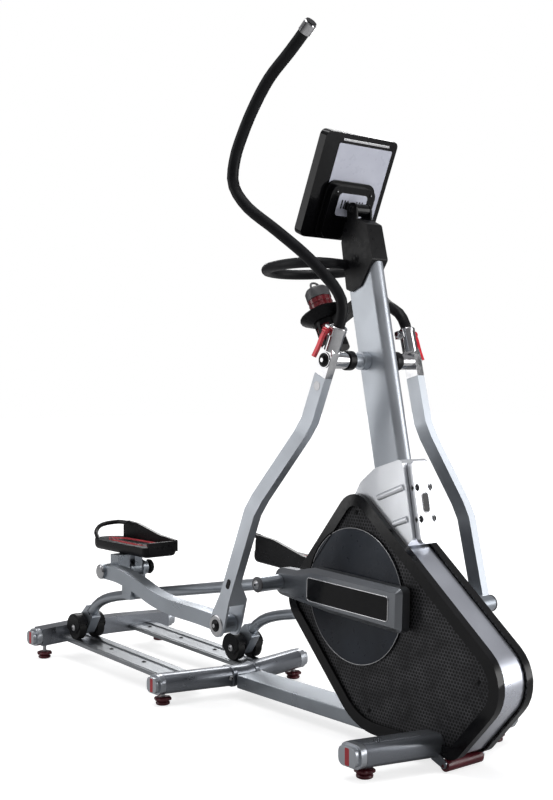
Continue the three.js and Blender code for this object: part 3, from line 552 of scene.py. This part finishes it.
def bolt(name, origin, outward, radius, body, place=Matrix(), head=CHROME, socket=BLACK):
    """A washer and domed head with a hexagon socket."""
    frame_here = place @ facing(origin, outward)
    turned_piece(f"{name}_head", [
        (0, -1), (radius * 1.3, -1), (radius * 1.3, 1), (radius, 1.2), (radius * 0.9, radius * 0.35),
        (radius * 0.6, radius * 0.5), (0, radius * 0.5),
    ], head, body, frame_here)
    height = radius * 0.5 + 0.3
    turned_piece(f"{name}_socket", [(0, 0), (radius * 0.45, 0), (radius * 0.45, height), (0, height)],
                 socket, body, frame_here, 6)


# ---- housing trim ----
HOUSING = [(4, 674, 72), (-535, 239, 105), (-353, 35, 40), (-7, 35, 180), (292, 343, 75)]
RIM_WIDTH = 30
HOUSING_SCREWS = [(-2, 598), (-420, 236), (-290, 80), (218, 338), (-50, 92), (-235, 440)]


def housing_trim():
    shift = CRANK_CENTRE.y
    outline = rounded([(u + shift, v, radius) for u, v, radius in HOUSING], 10)
    for side, sign in SIDES:
        face = node_box(f"side_cover_{side}")[1 if sign > 0 else 0].x
        edge = [(face - sign * 1.2, p.x, p.y) for p in shrunk(outline, RIM_WIDTH - 1)]
        wire(f"rim_bead_{side}", edge, 0.8, GLOSS, "frame", closed=True)
        for index, (y, z) in enumerate(HOUSING_SCREWS):
            origin = (face - sign * 8, y + shift, z)
            bolt(f"cover_screw_{side}_{index}", origin, (sign, 0, 0), 5, "frame",
                 head=BLACK)


# ---- crank trim ----
DISC_RADIUS = 177
DISC_EDGE_FACE = 59.6
CRANK_COVER_FACE = 101.5
CRANK_THROW = 257
SLEEVE_END = 177
SLEEVE_CAP_HEIGHT = 6


def crank_trim(side, sign):
    place = crank_frame[side]
    face = sign * CRANK_COVER_FACE
    ring = [(sign * DISC_EDGE_FACE, u, v) for u, v in circle(DISC_RADIUS, 5)]
    wire(f"disc_edge_{side}", ring, 1.0, STEEL, "crank", place, closed=True)
    badge = rectangle(-168, -31, 140, 31, 9)
    prism(f"badge_{side}", badge, "X", face - sign * 2, face + sign * 0.6, GLOSS, "crank",
          place, 0.5)
    outline = [(face + sign * 0.5, p.x, p.y) for p in badge]
    wire(f"badge_line_{side}", outline, 1.6, CHROME, "crank", place, closed=True)
    throw = CRANK_THROW * -sign
    centre = Vector((sign * SLEEVE_END, CRANK_CENTRE.y + throw * math.cos(RAIL_TILT),
                     CRANK_CENTRE.z + throw * math.sin(RAIL_TILT)))
    body = f"{side}_roller_tube"
    turned_piece(f"sleeve_cap_{side}", [(0, -1), (21.5, -1), (21.5, 3), (18, SLEEVE_CAP_HEIGHT),
                                        (0, SLEEVE_CAP_HEIGHT)],
                 GREY_PLASTIC, body, facing(centre, (sign, 0, 0)))
    bolt(f"sleeve_bolt_{side}", centre + Vector((sign * SLEEVE_CAP_HEIGHT, 0, 0)), (sign, 0, 0), 9, body,
         head=STEEL)


# ---- swing arm and handlebar trim ----
SHAFT_END = 165
SHAFT_WASHER = 3
FORK_OUTER, FORK_INNER = 268, 206
HANDLE_TOP = (314, 220, 778)
HANDLE_CAP_LENGTH = 26


def swing_trim(side, sign):
    place = swing_frame[side]
    body = f"{side}_swing_arm"
    bolt(f"shaft_cap_{side}", (sign * (SHAFT_END + SHAFT_WASHER), 0, 0), (sign, 0, 0), 14, "frame", place,
         BLACK, CHROME)
    turned_piece(f"shaft_washer_{side}", [(0, 0), (21, 0), (21, 2.5), (0, 2.5)], CHROME, body,
                 place @ facing((sign * SHAFT_END, 0, 0), (sign, 0, 0)))
    for index, (x, outward) in enumerate(((sign * FORK_OUTER, sign), (sign * FORK_INNER, -sign))):
        ring_place = place @ facing((x, 0, -ARM_LENGTH), (outward, 0, 0))
        profile = [(0, -1), (29, -1), (29, 1.6), (26, 3), (0, 3)]
        turned_piece(f"fork_ring_{side}_{index}", profile, CHROME, body, ring_place)
        bolt(f"fork_bolt_{side}_{index}", (x + outward * 3, 0, -ARM_LENGTH), (outward, 0, 0), 13, body, place,
             BLACK, CHROME)
    plug = rounded([(-7, -640, 6), (7, -640, 6), (7, -668, 6), (-7, -668, 6)])
    prism(f"arm_plug_{side}", plug, "X", sign * 267, sign * 269.4, BLACK, body, place, 0.4)
    seam = rounded([(-12, -60, 11), (12, -60, 11), (12, -84, 11), (-12, -84, 11)])
    prism(f"arm_seam_{side}", seam, "X", sign * 164, sign * 165.6, STEEL, body, place, 0.3)
    across, back, up = HANDLE_TOP
    top = Vector((sign * across, back, up + HANDLE_HEIGHT[side]))
    along = Vector((-2 * sign, -11, 23)).normalized()
    turned_piece(f"handle_cap_{side}", [
        (0, -HANDLE_CAP_LENGTH), (16.6, -HANDLE_CAP_LENGTH), (16.6, 1), (14.5, 3.5), (0, 3.5),
    ], CHROME, body, place @ facing(top - along * 6, along))
    turned_piece(f"socket_collar_{side}", [(0, -8), (22.5, -8), (22.5, 0), (20, 3), (0, 3)], CHROME, body,
                 place @ facing((sign * 150, 0, 90), (0, 0, 1)))
    nut_place = place @ facing((sign * 126, 8, 78), (-sign, 0, 0))
    turned_piece(f"clamp_nut_{side}", [(0, -4), (10, -4), (10, 8), (7, 10), (0, 10)], CHROME, body,
                 nut_place, 6)


# ---- pedals ----
PEDAL_TOP = 81.0
PEDAL_MIDDLE = 130
CHEVRONS = 3
CHEVRON_TIP, CHEVRON_REACH = 168, 34
TREAD_RIBS = 8
TREAD_RIB_FIRST, TREAD_RIB_PITCH = -118, 30


def pedal_trim(side, sign):
    place = pedal_frame[side]
    body = f"{side}_pedal_arm"
    for index in range(CHEVRONS):
        tip = CHEVRON_TIP - 17 * index
        reach = CHEVRON_REACH - 7 * index
        for leg in (-1, 1):
            points = [(sign * PEDAL_MIDDLE, tip, PEDAL_TOP),
                      (sign * PEDAL_MIDDLE + leg * reach, tip - 60, PEDAL_TOP),
                      (sign * PEDAL_MIDDLE + leg * (reach + 5), -60 - 22 * index, PEDAL_TOP)]
            wire(f"chevron_{side}_{index}_{leg + 1}", points, 1.7 - 0.3 * index, RED_LINE, body,
                 place)
    for index in range(TREAD_RIBS):
        y = TREAD_RIB_FIRST + index * TREAD_RIB_PITCH
        points = [(sign * 94, y, PEDAL_TOP - 0.2), (sign * 168, y, PEDAL_TOP - 0.2)]
        wire(f"tread_rib_{side}_{index}", points, 1.1, BLACK, body, place)
    knob_place = place @ facing((sign * 98, 0, 0), (-sign, 0, 0))
    turned_piece(f"arm_knob_{side}", [(0, 0), (12, 0), (12, 5), (22, 7), (24, 16), (20, 22), (0, 22)],
                 BLACK, body, knob_place, 10)
    turned_piece(f"arm_cap_{side}", [(0, 0), (22, 0), (22, 3), (18, 6), (0, 6)], CHROME, body,
                 place @ facing((sign * 262, 0, 0), (sign, 0, 0)))


# ---- carriage fenders ----
SHIELD = ((-42, 8, 14), (-30, 36, 14), (6, 44, 16), (40, 24, 14), (44, -6, 10), (14, -20, 12),
          (-14, -20, 12))
FENDER_GAP = 4
FENDER_THICKNESS = 4
FENDER_STEPS = 12
SHIELD_FACE = 3.5


def carriage_trim(side, sign):
    body = f"{side}_roller_tube"
    for place_name in ("inner", "outer"):
        low, high = node_box(f"carriage_wheel_{place_name}_{side}")
        centre = (low + high) / 2
        radius = (high.z - low.z) / 2 + FENDER_GAP
        x0, x1 = low.x - 2, high.x + 2
        outline = []
        for step in range(FENDER_STEPS + 1):
            angle = math.radians(-10 + 170 * step / FENDER_STEPS)
            outline.append(Vector((centre.y + radius * math.cos(angle), centre.z + radius * math.sin(angle))))
        outer_radius = radius + FENDER_THICKNESS
        outline += [centre.yz + (p - centre.yz) * outer_radius / radius for p in reversed(outline)]
        prism(f"fender_{place_name}_{side}", outline, "X", x0, x1, BLACK, body, edge=0.8)
        outer_face = high.x if (place_name == "outer") == (sign > 0) else low.x
        outward = 1 if outer_face == high.x else -1
        shield = rounded([(centre.y + u, centre.z + v, corner) for u, v, corner in SHIELD])
        shield_face = outer_face + outward * SHIELD_FACE
        prism(f"shield_{place_name}_{side}", shield, "X", outer_face + outward * 0.8, shield_face, BLACK,
              body, edge=0.8)
        bolt(f"wheel_bolt_{place_name}_{side}", (shield_face, centre.y, centre.z), (outward, 0, 0), 8, body,
             head=STEEL)


# ---- console, drawn with the tilt axis at the origin before it is leaned ----
CONSOLE_BACK = 61
CONSOLE_LOW = -102
CONSOLE_HEIGHT = 285
CONSOLE_DEPTH = 28
KEY_ROWS, KEY_COLUMNS = 2, 5
RED_KEY = (0, 2)


def console_trim():
    body = "console"
    low, high = CONSOLE_LOW, CONSOLE_LOW + CONSOLE_HEIGHT

    def plate(name, u0, v0, u1, v1, radius, y0, y1, material):
        prism(name, rectangle(u0, v0, u1, v1, radius), "Y", y0, y1, material, body, console_frame, 0.6)

    plate("console_back_panel", -78, low + 48, 112, high - 26, 4, CONSOLE_BACK - 1.4, CONSOLE_BACK,
          PALE_PANEL)
    plate("console_slot", -68, high - 19, 98, high - 13, 2.5, CONSOLE_BACK - 1.2, CONSOLE_BACK,
          CHROME)
    plate("console_pod_step", -86, low + 2, 86, low + 162, 30, CONSOLE_BACK - 9, CONSOLE_BACK - 0.6, GLOSS)
    plate("console_pod_plate", -50, low + 72, 50, low + 134, 10, CONSOLE_BACK - 25.2, CONSOLE_BACK - 23,
          PALE_PANEL)
    for index, u in enumerate((-36, -26, -16, 16, 26, 36)):
        plate(f"console_vent_{index}", u - 2, low + 92, u + 2, low + 116, 1.8, CONSOLE_BACK - 26,
              CONSOLE_BACK - 24, BLACK)
    for index, u in enumerate((-60, 60)):
        bolt(f"pod_screw_{index}", (u, CONSOLE_BACK - 24, low + 136), (0, -1, 0), 4.5, body, console_frame,
             BLACK, STEEL)
    front = CONSOLE_BACK + CONSOLE_DEPTH
    plate("console_face", -120, low + 8, 120, high - 8, 12, front - 1, front + 1.2, GREY_PLASTIC)
    plate("console_screen", -92, low + 112, 92, high - 26, 6, front, front + 2, SCREEN)
    plate("console_strip", -92, low + 96, 92, low + 100, 1.5, front, front + 2, CHROME)
    for row in range(KEY_ROWS):
        for column in range(KEY_COLUMNS):
            u = -72 + column * 36
            v = low + 36 + row * 30
            look = RED_LINE if (row, column) == RED_KEY else BLACK
            plate(f"console_key_{row}_{column}", u - 12, v - 8, u + 12, v + 8, 6, front, front + 3.4, look)
    plate("console_shelf", -96, low + 14, 96, low + 20, 2, front, front + 9, BLACK)


# ---- mast, neck and shaft ----
BASE_RIBS = (((-166, 674), (-72, 640)), ((-180, 595), (-128, 577)))
CLAMP_FACE = {"y": -201.5, "z": 532, "half": 33, "height": 208}


def mast_trim():
    shift = CRANK_CENTRE.y
    place = turned((0, shift + CLAMP_FACE["y"], CLAMP_FACE["z"]), -MAST_LEAN * 0.9)
    for side, sign in SIDES:
        for row, height in enumerate((62, 141)):
            spot = (sign * (CLAMP_FACE["half"] - 6), -12.5, height)
            outward = (sign * 0.8, -1, 0)
            washer = [(0, -1), (11.5, -1), (11.5, 1.2), (10, 2), (0, 2)]
            turned_piece(f"clamp_washer_{side}_{row}", washer, CHROME, "frame",
                         place @ facing(spot, outward))
            bolt(f"clamp_bolt_{side}_{row}", Vector(spot) + Vector(outward) * 1.2, outward, 6.5, "frame",
                 place, BLACK, STEEL)
        face = node_box("mast_base_cover")[1 if sign > 0 else 0].x
        for row, (front, rear) in enumerate(BASE_RIBS):
            start = Vector((face - sign * 3, front[0] + shift, front[1]))
            end = Vector((face - sign * 3, rear[0] + shift, rear[1]))
            reach = (start - end).length
            profile = [(0, 0), (6, 1), (9, 5), (9.5, reach), (0, reach)]
            turned_piece(f"base_rib_{side}_{row}", profile, PEARL, "frame",
                         facing(end, start - end))
    emblem = rectangle(-9, 78, 9, 126, 8)
    prism("clamp_emblem", emblem, "Y", -17, -15.6, GLOSS, "frame", place, 0.5)
    outline = [(p.x, -16.6, p.y) for p in rectangle(-11, 76, 11, 128, 10)]
    wire("clamp_emblem_line", outline, 1.2, CHROME, "frame", place, closed=True)


NECK_FACE = 28


def neck_trim():
    tilt = joint_place("console_tilt")
    for side, sign in SIDES:
        bolt(f"neck_boss_{side}", (sign * NECK_FACE, 30 + CRANK_CENTRE.y, 1262), (sign, 0, 0), 10, "frame",
             head=BLACK)
        bolt(f"tilt_boss_{side}", (sign * NECK_FACE, tilt.y, tilt.z), (sign, 0, 0), 8, "frame",
             head=BLACK)
    shaft = joint_place("right_arm_swing")
    for side, sign in SIDES:
        collar = [(0, -11), (25, -11), (26, -8), (26, 8), (25, 11), (0, 11)]
        turned_piece(f"shaft_collar_{side}", collar, BLACK, "frame",
                     facing((sign * 84, shaft.y, shaft.z), (sign, 0, 0)))


# ---- bottle ----
BOTTLE_LEAN = math.radians(-27)
BOTTLE_RADIUS = 33.2


def bottle_trim():
    centre = Vector((0, 178 + CRANK_CENTRE.y, 1110))
    place = turned(centre, BOTTLE_LEAN)
    lid = [(0, 62), (34.8, 62), (34.8, 86), (30, 94), (22, 97), (0, 97)]
    turned_piece("bottle_lid", lid, GREY_PLASTIC, "bottle", place)
    for index, height in enumerate((20, 34, 48)):
        ring = [(u, v, height) for u, v in circle(BOTTLE_RADIUS, 12)]
        wire(f"bottle_rib_{index}", ring, 1.2, BOTTLE_RED, "bottle", place, closed=True)
    loop = [(-16, 0, 94), (-16, 0, 108), (-8, 0, 116), (8, 0, 116), (16, 0, 108), (16, 0, 94)]
    wire("bottle_loop", loop, 3, GREY_PLASTIC, "bottle", place, smooth=True)


# ---- levelling feet ----
LOBES = 8
LOBED_FROM, LOBED_TO = 13, 23  # heights between which the knob is lobed
STEM_RADIUS = 6


def star_foot(name):
    """A lobed knob on a threaded stem, in place of the plain CAD foot."""
    low, high = node_box(name)
    centre = (low + high) / 2
    steps = LOBES * 6
    rings = [(16, 0), (20, 2), (21, 7), (15, 11), (12, 13), (24, 13.5), (26, 15), (26, 20), (23, 22.5),
             (8, 24)]
    vertices = []
    for radius, height in rings:
        lobed = LOBED_FROM <= height <= LOBED_TO
        for step in range(steps):
            angle = 2 * math.pi * step / steps
            reach = radius * (0.94 + 0.06 * math.cos(LOBES * angle)) if lobed else radius
            vertices.append((centre.x + reach * math.cos(angle), centre.y + reach * math.sin(angle), height))
    faces = [list(range(steps))[::-1], list(range((len(rings) - 1) * steps, len(rings) * steps))]
    for ring in range(len(rings) - 1):
        for step in range(steps):
            following = (step + 1) % steps
            start = ring * steps
            faces.append([start + step, start + following, start + following + steps, start + step + steps])
    knob = piece(f"{name}_knob", vertices, faces, DARK_RED, "frame")
    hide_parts(name)
    stem = [(0, LOBED_TO), (STEM_RADIUS, LOBED_TO), (STEM_RADIUS, high.z), (0, high.z)]
    turned_piece(f"{name}_stem", stem, STEEL, "frame",
                 Matrix.Translation((centre.x, centre.y, 0)), 20)


# ---- end caps, rails and middle stabiliser ----
RAIL_SCREWS = 4


def cap_trim():
    """A dark red stripe down the end of each cap."""
    for station in ("front", "middle", "rear"):
        for side, sign in SIDES:
            low, high = node_box(f"{station}_end_cap_{side}")
            face = (high if sign > 0 else low).x
            middle = (low.y + high.y) / 2
            stripe = rectangle(middle - 9, low.z + 7, middle + 9, high.z - 7, 5)
            prism(f"cap_stripe_{station}_{side}", stripe, "X", face - sign * 9, face + sign * 0.6, RED_LINE,
                  "frame", edge=3)


def rail_trim():
    for side, sign in SIDES:
        low, high = node_box(f"rail_{side}")
        centre = (low.x + high.x) / 2
        for index in range(RAIL_SCREWS):
            y = low.y + (high.y - low.y) * (0.08 + 0.28 * index)
            z = 58 + (y - CRANK_CENTRE.y - 730) * math.tan(RAIL_TILT) - 5
            bolt(f"rail_screw_{side}_{index}", (centre, y, z), (0, 0, 1), 6, "frame",
                 head=BLACK)
    low, high = node_box("middle_stabiliser")
    for side, sign in SIDES:
        centre_y = low.y + 31 + 9
        collar = rectangle(centre_y - 32.5, low.z - 1, centre_y + 32.5, high.z + 1, 16)
        prism(f"joint_collar_{side}", collar, "X", sign * 33, sign * 49, STABILISER, "frame",
              edge=2)
        bolt(f"joint_bolt_{side}", (sign * 56, centre_y - 31, (low.z + high.z) / 2), (0, -1, 0), 6, "frame",
             head=STEEL)


dress_nodes()
housing_trim()
mast_trim()
neck_trim()
console_trim()
bottle_trim()
cap_trim()
rail_trim()
for side, sign in SIDES:
    crank_trim(side, sign)
    swing_trim(side, sign)
    pedal_trim(side, sign)
    carriage_trim(side, sign)
    for station in ("front", "middle", "rear"):
        star_foot(f"{station}_foot_{side}")


# ---- floor, light and camera ----
def floor():
    """Pale paper that also glows softly for the camera, so that it stays pale far from the lights."""
    bpy.ops.mesh.primitive_plane_add(size=60, location=(0, 0, -0.0005))
    plane = bpy.context.object
    plane.name = "floor"
    look = Surface("floor_paper")
    color = look.blend(look.noise(2), rgb(0.5, 0.5, 0.5), rgb(0.54, 0.54, 0.54))
    far = look.math("MINIMUM", look.math("MULTIPLY", look.length(look.x, look.y), 0.22), 1.0)
    brightness = look.math("MULTIPLY_ADD", far, 0.32, 0.7)
    path = look.tree.nodes.new("ShaderNodeLightPath")
    glow = look.math("MULTIPLY", path.outputs["Is Camera Ray"], brightness)
    look.feed(look.shader.inputs["Emission Color"], rgb(1, 1, 1))
    look.feed(look.shader.inputs["Emission Strength"], glow)
    plane.data.materials.append(look.finish(color, 0.0, 0.95))


def softbox(name, location, target, size, power):
    light = bpy.data.lights.new(name, "AREA")
    light.shape = "RECTANGLE"
    light.size, light.size_y = size
    light.energy = power
    obj = bpy.data.objects.new(name, light)
    obj.location = location
    obj.rotation_euler = (Vector(target) - Vector(location)).to_track_quat("-Z", "Y").to_euler()
    bpy.context.scene.collection.objects.link(obj)


def studio_world():
    """White for the camera; for reflections, bright above and darker towards the horizon."""
    world = bpy.data.worlds.new("studio")
    bpy.context.scene.world = world
    world.use_nodes = True
    tree = world.node_tree
    background = tree.nodes["Background"]
    coordinates = tree.nodes.new("ShaderNodeTexCoord")
    split = tree.nodes.new("ShaderNodeSeparateXYZ")
    tree.links.new(coordinates.outputs["Generated"], split.inputs[0])
    ramp = tree.nodes.new("ShaderNodeValToRGB")
    ramp.color_ramp.elements[0].position = 0.0
    ramp.color_ramp.elements[0].color = (0.05, 0.05, 0.055, 1)
    ramp.color_ramp.elements[1].position = 0.7
    ramp.color_ramp.elements[1].color = (0.42, 0.42, 0.43, 1)
    tree.links.new(split.outputs[2], ramp.inputs[0])
    path = tree.nodes.new("ShaderNodeLightPath")
    mix = tree.nodes.new("ShaderNodeMix")
    mix.data_type = "RGBA"
    tree.links.new(path.outputs["Is Camera Ray"], mix.inputs["Factor"])
    tree.links.new(ramp.outputs[0], mix.inputs[6])
    mix.inputs[7].default_value = (1, 1, 1, 1)
    tree.links.new(mix.outputs[2], background.inputs["Color"])
    background.inputs["Strength"].default_value = 1.0


CAMERA_OFFSET = Vector((-2.137, -2.251, 0.920))  # from the point on the floor under the crank axle
CAMERA_PITCH = math.radians(89.45)
CAMERA_YAW = math.radians(-38.92)
LENS = 52.9


def camera():
    data = bpy.data.cameras.new("camera")
    data.lens = LENS
    data.sensor_width = 36
    obj = bpy.data.objects.new("camera", data)
    obj.location = CAMERA_OFFSET + Vector((0, CRANK_CENTRE.y / 1000, 0))
    obj.rotation_euler = (CAMERA_PITCH, 0, CAMERA_YAW)
    bpy.context.scene.collection.objects.link(obj)
    bpy.context.scene.camera = obj


floor()
softbox("key", (-3.0, 2.6, 1.5), (0, 0, 0.8), (1.6, 3.0), 30)
softbox("top", (-0.6, -0.4, 4.2), (0, 0, 0.6), (2.6, 2.6), 95)
softbox("front", (2.2, -3.6, 1.4), (0, 0, 0.8), (1.7, 2.8), 76)
softbox("back", (2.6, 3.2, 2.6), (0, 0, 0.8), (2.0, 1.6), 60)
studio_world()
camera()
bpy.context.scene.view_settings.view_transform = "Standard"
